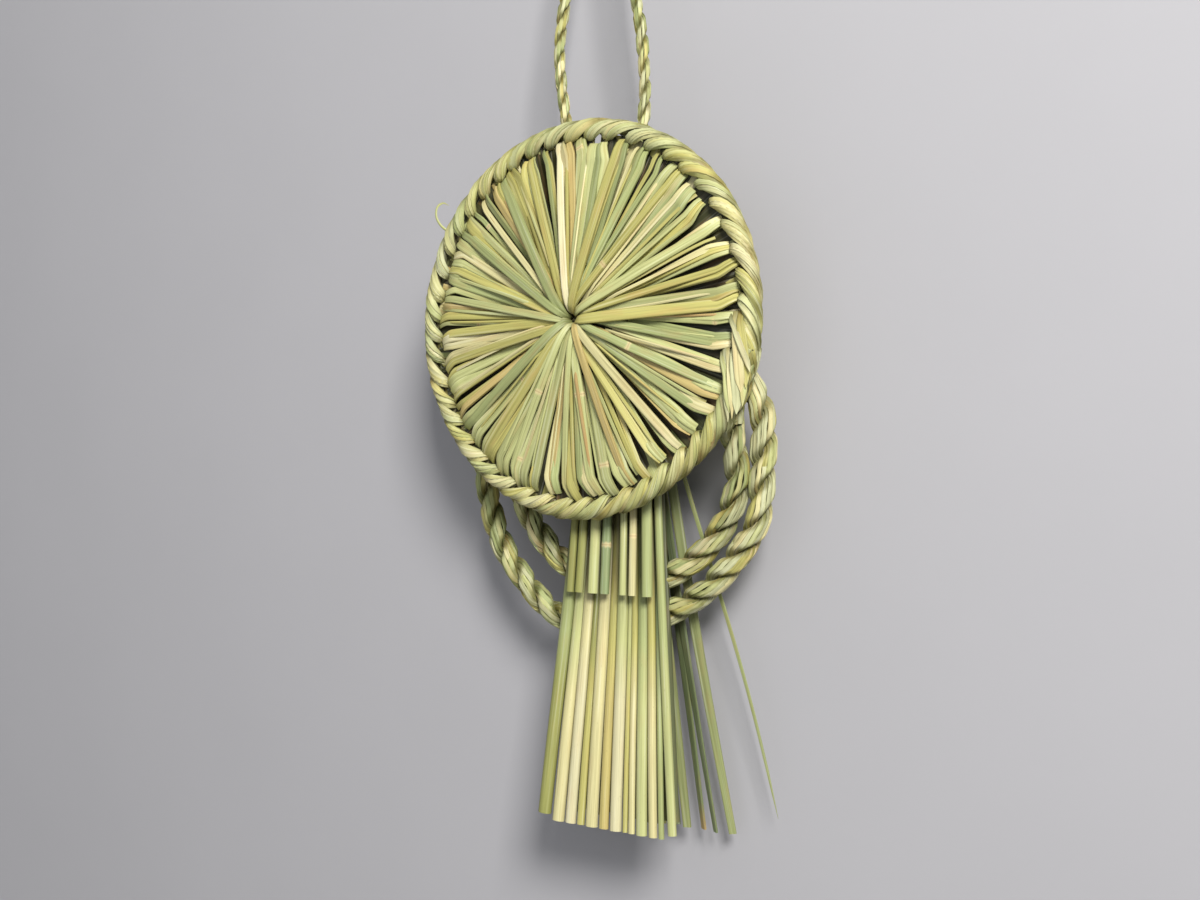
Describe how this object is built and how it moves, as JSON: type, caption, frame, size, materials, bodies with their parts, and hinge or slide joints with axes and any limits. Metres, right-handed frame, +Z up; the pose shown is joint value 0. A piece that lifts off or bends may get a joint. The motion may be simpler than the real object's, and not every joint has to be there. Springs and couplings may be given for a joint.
{
  "type": "straw ornament",
  "caption": "Hanging straw wall ornament: a disc of radiating straws with a braided rim, two loops of twisted straw rope, a cut straw skirt and a hanging cord.",
  "frame": {"origin": "hang point, at the inside of the top of the hanging cord's loop", "axes": "+Z up, front of the disc towards -Y, wall behind at +Y"},
  "size_m": [0.1408, 0.0386, 0.3385],
  "materials": {
    "disc_straw": "dry rush straw, pale yellow green, satin with fine ribs",
    "braid_straw": "dry split straw, pale yellow green, satin",
    "rope_straw": "dry straw twisted in two strands, yellow green, satin",
    "cord_straw": "thin twisted straw cord, yellow green, matt",
    "cream_skirt_straw": "dry straw culm, cream to golden, satin",
    "green_skirt_straw": "dry straw culm, pale green, satin",
    "back_skirt_straw": "dry flat straw blade, grey green, matt"
  },
  "bodies": {
    "root": {"straw_disc": "disc_straw", "braided_rim": "braid_straw", "rope_loops": "rope_straw", "hanging_cord": "cord_straw", "cord_knot": "cord_straw", "skirt_fold": "back_skirt_straw", "skirt_tie": "cord_straw", "front_right_straw": "green_skirt_straw", "loose_blade": "back_skirt_straw", "front_long_straw_01": "green_skirt_straw", "front_long_straw_02": "cream_skirt_straw", "front_long_straw_03": "cream_skirt_straw", "front_long_straw_04": "cream_skirt_straw", "front_long_straw_05": "cream_skirt_straw", "front_long_straw_06": "cream_skirt_straw", "front_long_straw_07": "cream_skirt_straw", "front_long_straw_08": "green_skirt_straw", "front_long_straw_09": "cream_skirt_straw", "front_long_straw_10": "cream_skirt_straw", "front_long_straw_11": "cream_skirt_straw", "front_long_straw_12": "green_skirt_straw", "front_short_straw_01": "green_skirt_straw", "front_short_straw_02": "green_skirt_straw", "front_short_straw_03": "green_skirt_straw", "front_short_straw_04": "green_skirt_straw", "front_short_straw_05": "green_skirt_straw", "front_short_straw_06": "green_skirt_straw", "front_short_straw_07": "green_skirt_straw", "back_straw_01": "back_skirt_straw", "back_straw_02": "back_skirt_straw", "back_straw_03": "back_skirt_straw", "back_straw_04": "back_skirt_straw", "back_straw_05": "back_skirt_straw", "back_straw_06": "back_skirt_straw", "back_straw_07": "back_skirt_straw", "back_straw_08": "back_skirt_straw", "back_straw_09": "back_skirt_straw", "back_straw_10": "back_skirt_straw", "back_straw_11": "back_skirt_straw", "back_straw_12": "back_skirt_straw"}
  },
  "joints": []
}
